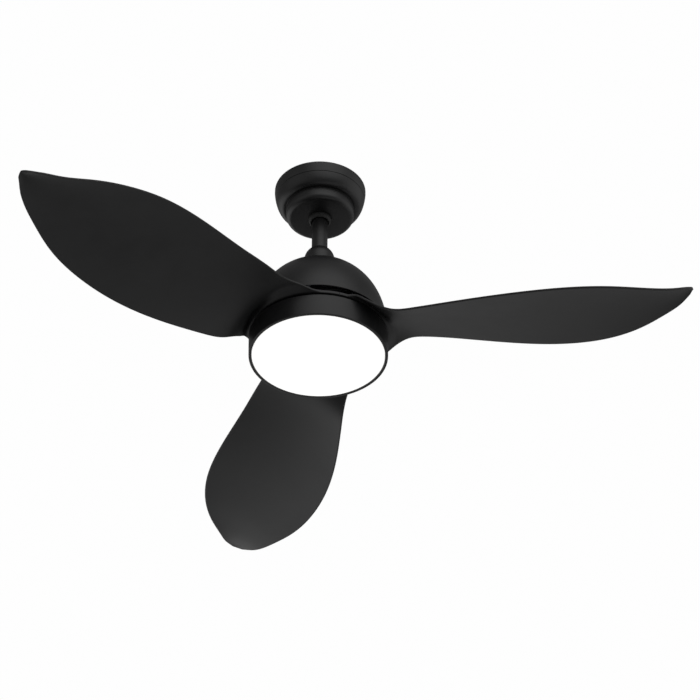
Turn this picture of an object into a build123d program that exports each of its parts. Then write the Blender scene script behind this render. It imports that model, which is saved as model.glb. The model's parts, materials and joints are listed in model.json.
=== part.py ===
from build123d import *

import os
from math import asin, cos, degrees, radians, sin

# A ceiling fan with three curved blades and a round LED light, hung from a ball-and-rod mount.
# The origin is on the ceiling at the middle of the hanger bracket, and the fan hangs down along -Z.
# Lengths are in millimetres.

# ---- Overall ----
DROP = 357.0  # ceiling to the lower edge of the light
BLADES = 3
BLADE_TURN = 360 / BLADES
STEEL = 2.5  # bracket sheet
STANDING = (Align.CENTER, Align.CENTER, Align.MIN)
HANGING = (Align.CENTER, Align.CENTER, Align.MAX)

# ---- Hanger bracket ----
BRACKET_RADIUS = 71.0
BRACKET_WIDTH = 40.0
SLOT_SPACING = 88.9  # the 3 1/2 inch spacing of a ceiling outlet box
SLOT_LENGTH = 16.0
SLOT_WIDTH = 5.5
LEG_X = 31.0  # inner face of each leg
LEG_WIDTH = 36.0
SHELF_DEPTH = 47.0
TAB_WIDTH = 24.0
TAB_DEPTH = 16.0
CANOPY_SCREW_DEPTH = 9.0
SCREW_RADIUS = 2.0  # shank of the M4 screws used throughout
SCREW_HEAD = 3.6
EARTH_DEPTH = 30.0
RECEIVER = (58.0, 96.0, 18.0)
TERMINALS = (13.0, 28.0, 18.0)
TERMINAL_DEPTH = 33.0
TERMINAL_PITCH = 8.5

# ---- Ball joint ----
BALL_RADIUS = 22.0
BALL_DEPTH = 37.0  # ceiling to the ball's middle
BALL_TOP = 7.5  # flat top above the middle
BALL_BOTTOM = 16.5  # flat bottom below the middle
LINER_IN = 22.25
LINER_OUT = 23.6
CUP_IN = 23.9
CUP_OUT = 26.4
CUP_ANGLES = (46, 78)  # from straight down
LINER_ANGLES = (47, 88)
ROD_WAY = 27.6  # open side of the bracket that the rod passes in by
KEY_WIDTH = 3.4  # the bracket's key that stops the ball turning with the motor
KEY_REACH = 19.9
KEYWAY_WIDTH = 5.2
KEYWAY_DEPTH = 3.3
GRUB_DEPTH = 46.0  # ceiling to the screw that locks ball and rod
GRUB_RADIUS = 2.5

# ---- Canopy ----
CANOPY_RADIUS = 77.8
CANOPY_DEPTH = 62.5
CANOPY_WALL = 1.2
CANOPY_NECK = 72.6  # upper part, hidden by the trim ring
BOWL_RADIUS = 75.8
BOWL_WAIST = (70.7, -43.2)  # pulls the bowl's curve in towards the tier
TIER_RADIUS = 57.8
TIER_TOP = 40.0
TIER_ROUND = 9.0
TRIM_DEPTH = 19.0
TRIM_IN = 74.6
TRIM_SEAM = 0.3
TRIM_CURVE = [(CANOPY_RADIUS, -5.5), (77.1, -13), (75.9, TRIM_SEAM - TRIM_DEPTH)]
BUSHING_HOLE = 17.5
BUSHING_IN = 15.2
BUSHING_OUT = 19.8
BUSHING_DEPTH = 70.0
BUSHING_FLANGE = 1.8
BUSHING_BEAD = [(BUSHING_OUT, -CANOPY_DEPTH), (BUSHING_OUT, -67.5), (16.2, -BUSHING_DEPTH)]

# ---- Rod and coupling ----
ROD_RADIUS = 13.35  # the 26.7 mm outside diameter of 3/4 inch pipe
ROD_BORE = 11.0
ROD_TOP_DEPTH = 29.5
ROD_FOOT = 185.0  # heights from here on are above the light's lower edge
PIN_RADIUS = 3.0
LEAD_RADIUS = 2.4
LEAD_OFFSET = 6.8  # keeps the lead clear of the two pins
LEAD_TOP = 24.0
LEAD_CROSSING = 26.0
YOKE_RADIUS = 17.5
YOKE_TOP = 215.0
YOKE_FLANGE_RADIUS = 27.5
YOKE_FLANGE = 4.5
CLEVIS_HEIGHT = 199.0
SET_SCREW_HEIGHT = 207.0
CLIP_X = -19.6
CLIP_LENGTH = 7.0
COVER_RADIUS = 25.5
COVER_OPENING = 55.0  # degrees up the cap at which its opening for the rod lies
COVER_WAIST = 191.0
COVER_CENTRE = 203.5
COVER_FOOT_RADIUS = 29.0
COVER_WALL = 1.5

# ---- Dome ----
DOME_RADIUS = 112.0
DOME_RIM = 59.0
DOME_TOP = 175.5
DOME_WALL = 1.5
DOME_CENTRE = 16.0  # the dome's outline is an ellipse standing this far off the axis
DOME_HEIGHT = 117.5
DOME_SCREW_CIRCLE = 23.2
DOME_SCREW_RADIUS = 1.75

# ---- Shaft, bearings and motor ----
SHAFT_RADIUS = 8.5
SHAFT_BORE = 5.5
SHAFT_FOOT = 25.0
SHAFT_TOP = 183.0
BEARING_WIDTH = 12.0
BEARING_OUTER = 20.0
BEARING_HEIGHTS = (51.0, 105.0)
INNER_RING = 11.5
OUTER_RING = 16.5
BEARING_BALL = 2.45
BEARING_BALLS = 9
SHELL_RADIUS = 80.0
SHELL_WALL = 4.0
SHELL_FOOT = 47.0
SHELL_SPLIT = 85.0
SHELL_TOP = 121.0
SHELL_LIP = 14.0
SHELL_FLOOR = 4.0
SHELL_HUB = 24.0
SHELL_SCREW_CIRCLE = 84.0
SHELL_LUG = 5.0
SHELL_CHAMFER = 3.0
ROTOR_FLANGE_RADIUS = 106.0
ROTOR_FLANGE = 3.5
CORE_RADIUS = 66.8
CORE_FOOT = 73.0
CORE_TOP = 95.0
TEETH = 12
TOOTH_WIDTH = 9.0
CORE_HUB = 33.0
COIL = (22.0, 18.0)
COIL_CIRCLE = 48.0
COIL_OVERHANG = 6.0
CIRCLIP_RADIUS = 12.0
CIRCLIP = 1.2
TRAY_RADIUS = 60.0
TRAY_FOOT = 137.0
TRAY_WALL = 1.5
TRAY_RIM = 4.0
SPACER_FOOT = TRAY_FOOT + TRAY_WALL
SPACER = 5.5
SPACER_CIRCLE = 46.0
SPACER_RADIUS = 3.5
SMALL_SCREW_RADIUS = 1.5
SMALL_SCREW_HEAD = 2.8
CONTROLLER_FOOT = SPACER_FOOT + SPACER
CONTROLLER_TOP = CONTROLLER_FOOT + 1.6
CONTROLLER_RADIUS = 54.0
CONTROLLER_BORE = 18.0
# Capacitors: angle, radius and height of each
CAPACITORS = [(25, 7, 15), (55, 5, 12), (70, 5, 12), (155, 8, 9), (200, 4, 8), (295, 6, 14)]
CAPACITOR_CIRCLE = 36.0
COIL_ANGLES = (112, 245)  # the board's two chokes
MAGNET_IN = 67.6
MAGNETS = 16

# ---- Blades ----
RIM_RADIUS = 113.5  # each blade carries a third of this turning rim
RIM_BORE = 70.0
RIM_FOOT = 42.0
RIM_TOP = 46.0
RIM_LIP = 47.5
RIM_WALL_IN = 109.8
RIM_GAP = 0.6  # between one blade's share of the rim and the next
BLADE_THICKNESS = 3.8
CAMBER = 9.0
BLADE_SCREW_RADIUS = 92.0
BLADE_SCREW_ANGLES = (-36, 0, 36)
# Sections across the blade, at these distances out: close together at the root and at the tip
ROOT_STATIONS = [62 + 8 * step for step in range(11)]
SPAN_STATIONS = [158 + 16 * step for step in range(24)]
TIP_STATIONS = [541, 554, 566, 576, 585, 593, 600, 605, 608]
# The blade's two long edges from rim to tip: distance out, offset sideways, height above the light
LOW_EDGE = [
    (60, -90, 45.5),
    (70, -89.5, 45),
    (82, -88.2, 41.8),
    (95, -86.8, 35),
    (114, -84, 22),
    (137, -85.2, 7.7),
    (171, -91.8, -1.4),
    (250.5, -108, -12.6),
    (331, -117.2, -19.6),
    (413, -115, -21.3),
    (487, -99, -18.8),
    (544, -74.5, -12.9),
    (586, -52.6, -2),
    (603, -39.8, 7),
    (611, -32, 11),
]
HIGH_EDGE = [
    (60, 90, 44),
    (74, 84, 44.7),
    (88, 75, 46),
    (104, 67, 48.6),
    (120.5, 57.4, 52.2),
    (141.7, 50, 55.3),
    (168, 51, 54.6),
    (228.5, 58.5, 45.8),
    (291.6, 68, 35.8),
    (358, 75.8, 26.6),
    (424, 74.7, 18.6),
    (483, 60, 11.6),
    (529, 36, 7.2),
    (562.6, 11.6, 5.2),
    (588, -6.4, 7.6),
    (603, -21, 10.4),
    (611, -29.6, 11.3),
]

# ---- Light ----
HOUSING_TOP = 38.0
HOUSING_FOOT = -0.6
HOUSING_TOP_RADIUS = 113.8
HOUSING_FOOT_RADIUS = 113.0
HOUSING_WALL = 2.2
HOUSING_OPENING = 96.0
LIP_RADIUS = 108.4
LIP_TOP = 2.0
PLATE_RADIUS = 108.0
PLATE_FOOT = 33.6
PLATE_TOP = HOUSING_TOP - HOUSING_WALL
HOUSING_SCREW_CIRCLE = 102.0
WASHER_RADIUS = 17.0
WASHER = 1.6
NUT_RADIUS = 15.0
NUT = 6.0
LED_BOARD_RADIUS = 92.0
LED_BOARD_FOOT = 12.0
LED_BOARD_TOP = 13.6
LED_SCREW_CIRCLE = 70.0
LED_RINGS = [(28, 12), (54, 20), (84, 28)]  # radius of each ring and its number of chips
DRIVER = (66.0, 38.0, 15.0)
DRIVER_OFFSET = 42.0
LEAD_END = 19.0
CATCHES = 3
CATCH_FOOT = 13.5
CATCH_TOP = 16.5
CATCH_IN = 106.6
CATCH_OUT = 111.6
HOOK_IN = 103.4
HOOK_OUT = 106.2
HOOK_FOOT = 4.0
HOOK_TOP = 20.0
HOOK_HALF_ANGLE = 6.0
DIFFUSER_RADIUS = 108.0
DIFFUSER_WALL = 2.2
DIFFUSER_CROWN = 4.0
DIFFUSER_SKIRT = 8.0
SKIRT_IN = 105.6

# Upright planes for profiles, one measured from the light's lower edge and one from the ball's middle
LIGHT_PROFILE = Plane(origin=(0, 0, -DROP), x_dir=(1, 0, 0), z_dir=(0, -1, 0))
BALL_PROFILE = Plane(origin=(0, 0, -BALL_DEPTH), x_dir=(1, 0, 0), z_dir=(0, -1, 0))


def up(height):
    """The horizontal plane at a height above the light's lower edge."""
    return Plane.XY.offset(height - DROP)


def down(height):
    """The same plane facing down."""
    return Plane(origin=(0, 0, height - DROP), x_dir=(1, 0, 0), z_dir=(0, 0, -1))


def spot(radius, angle, height):
    """A place at a radius, an angle about the axis and a height above the light's lower edge."""
    return (radius * cos(radians(angle)), radius * sin(radians(angle)), height - DROP)


def sector(inner, outer, half_angle, middle=0.0):
    """A ring sector about the axis."""
    return ring_piece(inner, outer, middle - half_angle, 2 * half_angle)


def ring_piece(inner, outer, start, sweep_angle):
    """The flat piece between two arcs about the origin."""
    with BuildSketch() as piece:
        with BuildLine():
            inside = CenterArc((0, 0), inner, start, sweep_angle)
            outside = CenterArc((0, 0), outer, start, sweep_angle)
            Line(inside @ 0, outside @ 0)
            Line(inside @ 1, outside @ 1)
        make_face()
    return piece.sketch


def spherical_band(inner, outer, low_angle, high_angle):
    """The profile of a band round the ball, its angles measured up from straight down."""
    return ring_piece(inner, outer, low_angle - 90, high_angle - low_angle)


def screw(head_radius, head, shank_radius, shank):
    """A screw along the workplane's normal, with its head standing above and its shank below."""
    Cylinder(head_radius, head, align=STANDING)
    Cylinder(shank_radius, shank, align=HANGING)


def blade_screw_spots(height):
    """The places of every blade's screws."""
    angles = [BLADE_TURN * blade + angle for blade in range(BLADES) for angle in BLADE_SCREW_ANGLES]
    return [spot(BLADE_SCREW_RADIUS, angle, height) for angle in angles]


# ======== Held on the ceiling ========

with BuildPart() as hanger_bracket:
    # Top plate with its two slots
    with BuildSketch():
        Rectangle(2 * BRACKET_RADIUS, BRACKET_WIDTH)
        Circle(BRACKET_RADIUS, mode=Mode.INTERSECT)
        with GridLocations(SLOT_SPACING, 0, 2, 1):
            SlotOverall(SLOT_LENGTH, SLOT_WIDTH, mode=Mode.SUBTRACT)
    extrude(amount=-STEEL)
    # End tabs that take the canopy screws
    with BuildSketch():
        Circle(BRACKET_RADIUS)
        Circle(BRACKET_RADIUS - STEEL, mode=Mode.SUBTRACT)
        Rectangle(2 * BRACKET_RADIUS, TAB_WIDTH, mode=Mode.INTERSECT)
    extrude(amount=-TAB_DEPTH)
    # Legs and shelf
    with BuildSketch(Plane.XZ.offset(-LEG_WIDTH / 2)):
        with Locations((0, -(SHELF_DEPTH + STEEL) / 2)):
            Rectangle(2 * (LEG_X + STEEL), SHELF_DEPTH + STEEL)
        with Locations((0, -SHELF_DEPTH / 2)):
            Rectangle(2 * LEG_X, SHELF_DEPTH, mode=Mode.SUBTRACT)
    extrude(amount=LEG_WIDTH)
    with BuildSketch(Plane.XY.offset(-SHELF_DEPTH)):
        Circle(CUP_IN)
    extrude(amount=-STEEL, mode=Mode.SUBTRACT)
    # Cup under the ball
    with BuildSketch(BALL_PROFILE):
        add(spherical_band(CUP_IN, CUP_OUT, *CUP_ANGLES))
    revolve(axis=Axis.Z)
    # Way in for the rod, and the key that enters the ball's keyway
    with Locations((0, CUP_OUT, -BALL_DEPTH - BALL_RADIUS / 2)):
        Box(ROD_WAY, 2 * CUP_OUT, 2 * BALL_RADIUS, mode=Mode.SUBTRACT)
    with Locations((0, -(CUP_IN + KEY_REACH) / 2, -BALL_DEPTH - 10)):
        Box(KEY_WIDTH, CUP_IN - KEY_REACH + 1, 8)
    # Holes: canopy screws in the tabs, earth screw in one leg
    with Locations((0, 0, -CANOPY_SCREW_DEPTH)):
        Cylinder(SCREW_RADIUS, 3 * BRACKET_RADIUS, rotation=(0, 90, 0), mode=Mode.SUBTRACT)
    with Locations((-LEG_X, 0, -EARTH_DEPTH)):
        Cylinder(SCREW_RADIUS, 3 * STEEL, rotation=(0, 90, 0), mode=Mode.SUBTRACT)

with BuildPart() as canopy:
    with BuildSketch(Plane.XZ):
        with BuildLine():
            neck = Polyline((CANOPY_NECK, 0), (CANOPY_NECK, -TRIM_DEPTH), (BOWL_RADIUS, -TRIM_DEPTH))
            bowl = Bezier(neck @ 1, BOWL_WAIST, (TIER_RADIUS, -TIER_TOP))
            tier = Line(bowl @ 1, (TIER_RADIUS, TIER_ROUND - CANOPY_DEPTH))
            edge = CenterArc((tier @ 1) - (TIER_ROUND, 0), TIER_ROUND, 0, -90)
            floor = Line(edge @ 1, (BUSHING_HOLE, -CANOPY_DEPTH))
            wall = CANOPY_WALL
            mouth = Line(floor @ 1, (BUSHING_HOLE, wall - CANOPY_DEPTH))
            inner_floor = Line(mouth @ 1, (edge @ 1) + (0, wall))
            inner_edge = CenterArc((tier @ 1) - (TIER_ROUND, 0), TIER_ROUND - wall, -90, 90)
            inner_tier = Line(inner_edge @ 1, (TIER_RADIUS - wall, wall - TIER_TOP))
            inner_waist = (BOWL_WAIST[0] - wall, BOWL_WAIST[1] + wall)
            inner_bowl = Bezier(inner_tier @ 1, inner_waist, (BOWL_RADIUS - wall, -TRIM_DEPTH - wall))
            Polyline(
                inner_bowl @ 1,
                (CANOPY_NECK - wall, -TRIM_DEPTH - wall),
                (CANOPY_NECK - wall, 0),
                neck @ 0,
            )
        make_face()
    revolve(axis=Axis.Z)
    with Locations((0, 0, -CANOPY_SCREW_DEPTH)):
        Cylinder(SCREW_RADIUS, 3 * CANOPY_NECK, rotation=(0, 90, 0), mode=Mode.SUBTRACT)

with BuildPart() as canopy_trim_ring:
    with BuildSketch(Plane.XZ):
        with BuildLine():
            band = Polyline((TRIM_IN, TRIM_SEAM - TRIM_DEPTH), (TRIM_IN, 0), (CANOPY_RADIUS, 0))
            Line(band @ 1, TRIM_CURVE[0])
            curve = Bezier(*TRIM_CURVE)
            Line(curve @ 1, band @ 0)
        make_face()
    revolve(axis=Axis.Z)

with BuildPart() as canopy_screws:
    for side in (-1, 1):
        with Locations(Plane(origin=(side * CANOPY_NECK, 0, -CANOPY_SCREW_DEPTH), z_dir=(side, 0, 0))):
            screw(SCREW_HEAD, 1.6, SCREW_RADIUS, 6)

with BuildPart() as canopy_bushing:
    with BuildSketch(Plane.XZ):
        with BuildLine():
            floor_top = CANOPY_WALL - CANOPY_DEPTH
            Polyline(
                (BUSHING_IN, -BUSHING_DEPTH),
                (BUSHING_IN, floor_top + BUSHING_FLANGE),
                (BUSHING_OUT - 0.8, floor_top + BUSHING_FLANGE),
                (BUSHING_OUT - 0.8, floor_top),
                (BUSHING_HOLE, floor_top),
                (BUSHING_HOLE, -CANOPY_DEPTH),
                BUSHING_BEAD[0],
            )
            bead = Bezier(*BUSHING_BEAD)
            Line(bead @ 1, (BUSHING_IN, -BUSHING_DEPTH))
        make_face()
    revolve(axis=Axis.Z)

with BuildPart() as receiver_module:
    with Locations((0, 0, -STEEL)):
        Box(*RECEIVER, align=HANGING)
    fillet(receiver_module.edges().filter_by(Axis.Z), radius=4)

with BuildPart() as terminal_block:
    with Locations((LEG_X + STEEL, 0, -TERMINAL_DEPTH)):
        Box(*TERMINALS, align=(Align.MIN, Align.CENTER, Align.CENTER))
    with Locations(terminal_block.faces().sort_by(Axis.X)[-1]):
        with GridLocations(0, TERMINAL_PITCH, 1, 3):
            Hole(2.2, depth=8)

with BuildPart() as earth_screw:
    with Locations(Plane(origin=(-LEG_X - STEEL, 0, -EARTH_DEPTH), z_dir=(-1, 0, 0))):
        Cylinder(5.5, 1, align=STANDING)
        screw(4, 3.2, SCREW_RADIUS, 4)

# ======== Ball liner, between the bracket and the ball ========

with BuildPart() as ball_liner:
    with BuildSketch(BALL_PROFILE):
        add(spherical_band(LINER_IN, LINER_OUT, *LINER_ANGLES))
    revolve(axis=Axis.Z)
    with Locations((0, -BALL_RADIUS, -BALL_DEPTH - 12)):
        Box(KEYWAY_WIDTH, 12, 22, mode=Mode.SUBTRACT)

# ======== Hanging body: ball, rod, coupling, covers, shaft, stator and light ========

with BuildPart() as hanger_ball:
    with BuildSketch(BALL_PROFILE):
        Circle(BALL_RADIUS)
        with Locations((BALL_RADIUS, (BALL_TOP - BALL_BOTTOM) / 2)):
            Rectangle(2 * BALL_RADIUS, BALL_TOP + BALL_BOTTOM, mode=Mode.INTERSECT)
        Rectangle(2 * ROD_RADIUS, 3 * BALL_RADIUS, mode=Mode.SUBTRACT)
    revolve(axis=Axis.Z)
    with Locations((0, -BALL_RADIUS, -BALL_DEPTH - 9)):
        Box(KEYWAY_WIDTH, 2 * KEYWAY_DEPTH, 18, mode=Mode.SUBTRACT)
    with Locations((0, 0, -BALL_DEPTH)):
        Cylinder(PIN_RADIUS, 3 * BALL_RADIUS, rotation=(0, 90, 0), mode=Mode.SUBTRACT)
    with Locations((0, BALL_RADIUS, -GRUB_DEPTH)):
        Cylinder(GRUB_RADIUS, 24, rotation=(90, 0, 0), mode=Mode.SUBTRACT)

with BuildPart() as ball_pin:
    with Locations((0, 0, -BALL_DEPTH)):
        Cylinder(PIN_RADIUS, 42, rotation=(0, 90, 0))
    chamfer(ball_pin.edges().filter_by(GeomType.CIRCLE), length=0.6)

with BuildPart() as ball_set_screw:
    with Locations(Plane(origin=(0, ROD_RADIUS, -GRUB_DEPTH), z_dir=(0, 1, 0))):
        Cylinder(GRUB_RADIUS, 5, align=STANDING)
        with Locations((0, 0, 2.5)):
            Cylinder(GRUB_RADIUS / 2, 3, align=STANDING, mode=Mode.SUBTRACT)

with BuildPart() as downrod:
    with BuildSketch(Plane.XY.offset(-ROD_TOP_DEPTH)):
        Circle(ROD_RADIUS)
        Circle(ROD_BORE, mode=Mode.SUBTRACT)
    extrude(amount=ROD_FOOT - DROP + ROD_TOP_DEPTH)
    for height in (-BALL_DEPTH, CLEVIS_HEIGHT - DROP):
        with Locations((0, 0, height)):
            Cylinder(PIN_RADIUS, 3 * ROD_RADIUS, rotation=(0, 90, 0), mode=Mode.SUBTRACT)

with BuildPart() as supply_lead:
    # From under the receiver, down the rod past both pins, through the shaft to the LED driver
    with BuildLine() as lead_route:
        FilletPolyline(
            (0, LEAD_TOP, -LEAD_CROSSING + 4.5),
            (0, LEAD_TOP, -LEAD_CROSSING),
            (0, LEAD_OFFSET, -LEAD_CROSSING),
            (0, LEAD_OFFSET, CLEVIS_HEIGHT - 4 - DROP),
            (0, 0, ROD_FOOT + 0.5 - DROP),
            (0, 0, LEAD_END - DROP),
            (0, DRIVER_OFFSET - DRIVER[1] / 2, LEAD_END - DROP),
            radius=[3.2, 3.2, 8, 8, 6],
        )
    with BuildSketch(Plane(origin=(0, LEAD_TOP, -LEAD_CROSSING + 4.5), z_dir=(0, 0, -1))):
        Circle(LEAD_RADIUS)
    sweep()

with BuildPart() as yoke:
    with BuildSketch(up(DOME_TOP - DOME_WALL)):
        Circle(YOKE_FLANGE_RADIUS)
    extrude(amount=-YOKE_FLANGE)
    with BuildSketch(up(DOME_TOP - DOME_WALL)):
        Circle(YOKE_RADIUS)
    extrude(amount=YOKE_TOP - DOME_TOP + DOME_WALL)
    with Locations(up(YOKE_TOP)):
        CounterBoreHole(6, ROD_RADIUS, YOKE_TOP - ROD_FOOT)
    with Locations(up(SHAFT_TOP)):
        Cylinder(SHAFT_RADIUS, 30, align=HANGING, mode=Mode.SUBTRACT)
    with Locations((0, 0, CLEVIS_HEIGHT - DROP)):
        Cylinder(PIN_RADIUS, 3 * YOKE_RADIUS, rotation=(0, 90, 0), mode=Mode.SUBTRACT)
    with Locations((0, 0, SET_SCREW_HEIGHT - DROP)):
        Cylinder(PIN_RADIUS, 3 * YOKE_RADIUS, rotation=(90, 0, 0), mode=Mode.SUBTRACT)
    with Locations(up(DOME_TOP)):
        with PolarLocations(DOME_SCREW_CIRCLE, 3):
            Cylinder(DOME_SCREW_RADIUS, 20, mode=Mode.SUBTRACT)

with BuildPart() as clevis_pin:
    with Locations(Plane(origin=(YOKE_RADIUS, 0, CLEVIS_HEIGHT - DROP), z_dir=(1, 0, 0))):
        screw(5, 2, PIN_RADIUS, 39)
    with Locations((CLIP_X, 0, CLEVIS_HEIGHT - DROP)):
        Cylinder(0.8, 10, mode=Mode.SUBTRACT)

with BuildPart() as r_clip:
    with BuildLine(Plane(origin=(CLIP_X, 0, CLEVIS_HEIGHT - DROP), x_dir=(0, 1, 0), z_dir=(1, 0, 0))):
        FilletPolyline(
            (0, -CLIP_LENGTH), (0, CLIP_LENGTH), (4.4, 9.5), (4.4, 4), (3.9, -3), radius=[1.6, 1.6, 3]
        )
    with BuildSketch(Plane(origin=(CLIP_X, 0, CLEVIS_HEIGHT - CLIP_LENGTH - DROP))):
        Circle(0.7)
    sweep()

with BuildPart() as yoke_set_screws:
    for side in (-1, 1):
        with Locations(Plane(origin=(0, side * ROD_RADIUS, SET_SCREW_HEIGHT - DROP), z_dir=(0, side, 0))):
            Cylinder(PIN_RADIUS, 7, align=STANDING)
            with Locations((0, 0, 4.5)):
                Cylinder(PIN_RADIUS / 2, 3, align=STANDING, mode=Mode.SUBTRACT)

with BuildPart() as dome_cover:
    across = DOME_RADIUS - DOME_CENTRE
    top_angle = degrees(asin((DOME_TOP - DOME_RIM) / DOME_HEIGHT))
    inner_angle = degrees(asin((DOME_TOP - DOME_WALL - DOME_RIM) / (DOME_HEIGHT - DOME_WALL)))
    with BuildSketch(LIGHT_PROFILE):
        with BuildLine():
            centre = (DOME_CENTRE, DOME_RIM)
            outer = EllipticalCenterArc(centre, across, DOME_HEIGHT, 0, arc_size=top_angle)
            inner = EllipticalCenterArc(
                centre, across - DOME_WALL, DOME_HEIGHT - DOME_WALL, 0, arc_size=inner_angle
            )
            Polyline(
                outer @ 1,
                (YOKE_RADIUS + 0.5, DOME_TOP),
                (YOKE_RADIUS + 0.5, DOME_TOP - DOME_WALL),
                inner @ 1,
            )
            Line(outer @ 0, inner @ 0)
        make_face()
    revolve(axis=Axis.Z)
    with Locations(up(DOME_TOP)):
        with PolarLocations(DOME_SCREW_CIRCLE, 3):
            Cylinder(DOME_SCREW_RADIUS, 20, mode=Mode.SUBTRACT)

with BuildPart() as dome_screws:
    with Locations(up(DOME_TOP)):
        with PolarLocations(DOME_SCREW_CIRCLE, 3):
            screw(SMALL_SCREW_HEAD, 1.6, DOME_SCREW_RADIUS, 6)

with BuildPart() as coupling_cover:
    with BuildSketch(LIGHT_PROFILE):
        with BuildLine():
            thin = COVER_WALL
            foot = DOME_TOP + 0.4
            cap = CenterArc((0, COVER_CENTRE), COVER_RADIUS, COVER_OPENING, -COVER_OPENING)
            skirt = Bezier(cap @ 1, (COVER_RADIUS, COVER_WAIST), (COVER_FOOT_RADIUS, foot))
            inner_cap = CenterArc((0, COVER_CENTRE), COVER_RADIUS - thin, COVER_OPENING, -COVER_OPENING)
            inner_skirt = Bezier(
                inner_cap @ 1, (COVER_RADIUS - thin, COVER_WAIST), (COVER_FOOT_RADIUS - thin, foot)
            )
            Line(cap @ 0, inner_cap @ 0)
            Line(skirt @ 1, inner_skirt @ 1)
        make_face()
    revolve(axis=Axis.Z)

with BuildPart() as motor_shaft:
    with BuildSketch(up(SHAFT_FOOT)):
        Circle(SHAFT_RADIUS)
        Circle(SHAFT_BORE, mode=Mode.SUBTRACT)
    extrude(amount=SHAFT_TOP - SHAFT_FOOT)

with BuildPart() as shaft_circlips:
    for height in (PLATE_TOP, TRAY_FOOT - CIRCLIP):
        with BuildSketch(up(height)):
            Circle(CIRCLIP_RADIUS)
            Circle(SHAFT_RADIUS, mode=Mode.SUBTRACT)
            with Locations((10, 0)):
                Rectangle(8, 5, mode=Mode.SUBTRACT)
        extrude(amount=CIRCLIP)

with BuildPart() as controller_tray:
    with BuildSketch(up(TRAY_FOOT)):
        Circle(TRAY_RADIUS)
        Circle(SHAFT_RADIUS, mode=Mode.SUBTRACT)
        with PolarLocations(TRAY_RADIUS / 2, 4, start_angle=45):
            Circle(7, mode=Mode.SUBTRACT)
    extrude(amount=TRAY_WALL)
    with BuildSketch(up(SPACER_FOOT)):
        Circle(TRAY_RADIUS)
        Circle(TRAY_RADIUS - TRAY_WALL, mode=Mode.SUBTRACT)
    extrude(amount=TRAY_RIM)

with BuildPart() as controller_spacers:
    with BuildSketch(up(SPACER_FOOT)):
        with PolarLocations(SPACER_CIRCLE, 4):
            Circle(SPACER_RADIUS)
            Circle(SMALL_SCREW_RADIUS, mode=Mode.SUBTRACT)
    extrude(amount=SPACER)

with BuildPart() as controller_board:
    with BuildSketch(up(CONTROLLER_FOOT)):
        Circle(CONTROLLER_RADIUS)
        Circle(CONTROLLER_BORE, mode=Mode.SUBTRACT)
        with PolarLocations(SPACER_CIRCLE, 4):
            Circle(SMALL_SCREW_RADIUS, mode=Mode.SUBTRACT)
    extrude(amount=CONTROLLER_TOP - CONTROLLER_FOOT)

with BuildPart() as controller_components:
    for angle, radius, tall in CAPACITORS:
        with Locations(spot(CAPACITOR_CIRCLE, angle, CONTROLLER_TOP)):
            Cylinder(radius, tall, align=STANDING)
    with Locations(*[spot(CAPACITOR_CIRCLE - 2, angle, CONTROLLER_TOP) for angle in COIL_ANGLES]):
        Box(16, 12, 7, align=STANDING)

with BuildPart() as controller_screws:
    with Locations(up(CONTROLLER_TOP)):
        with PolarLocations(SPACER_CIRCLE, 4):
            screw(SMALL_SCREW_HEAD, 1.8, SMALL_SCREW_RADIUS, 6)

with BuildPart() as stator_core:
    with BuildSketch(up(CORE_FOOT)):
        Circle(CORE_HUB)
        with PolarLocations(46, TEETH):
            Rectangle(32, TOOTH_WIDTH)
        for tooth in range(TEETH):
            add(sector(60, CORE_RADIUS, 13, 360 / TEETH * tooth))
        Circle(SHAFT_RADIUS, mode=Mode.SUBTRACT)
    extrude(amount=CORE_TOP - CORE_FOOT)

with BuildPart() as stator_windings:
    with BuildSketch(up(CORE_FOOT - COIL_OVERHANG)):
        with PolarLocations(COIL_CIRCLE, TEETH):
            RectangleRounded(*COIL, radius=3)
    extrude(amount=CORE_TOP - CORE_FOOT + 2 * COIL_OVERHANG)
    with BuildSketch(up(CORE_FOOT)):
        with PolarLocations(46, TEETH):
            Rectangle(40, TOOTH_WIDTH)
    extrude(amount=CORE_TOP - CORE_FOOT, mode=Mode.SUBTRACT)

with BuildPart() as bearing_inner_rings:
    for height in BEARING_HEIGHTS:
        with BuildSketch(up(height)):
            Circle(INNER_RING)
            Circle(SHAFT_RADIUS, mode=Mode.SUBTRACT)
        extrude(amount=BEARING_WIDTH)

with BuildPart() as light_plate:
    with BuildSketch(up(PLATE_FOOT)):
        Circle(PLATE_RADIUS)
        Circle(SHAFT_RADIUS, mode=Mode.SUBTRACT)
        with PolarLocations(55, 6, start_angle=30):
            Circle(10, mode=Mode.SUBTRACT)
        with PolarLocations(HOUSING_SCREW_CIRCLE, 3, start_angle=60):
            Circle(SCREW_RADIUS, mode=Mode.SUBTRACT)
    extrude(amount=PLATE_TOP - PLATE_FOOT)

with BuildPart() as shaft_washer:
    with BuildSketch(up(PLATE_FOOT)):
        Circle(WASHER_RADIUS)
        Circle(SHAFT_RADIUS, mode=Mode.SUBTRACT)
    extrude(amount=-WASHER)

with BuildPart() as shaft_nut:
    with BuildSketch(up(PLATE_FOOT - WASHER)):
        RegularPolygon(NUT_RADIUS, 6)
        Circle(SHAFT_RADIUS, mode=Mode.SUBTRACT)
    extrude(amount=-NUT)

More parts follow.
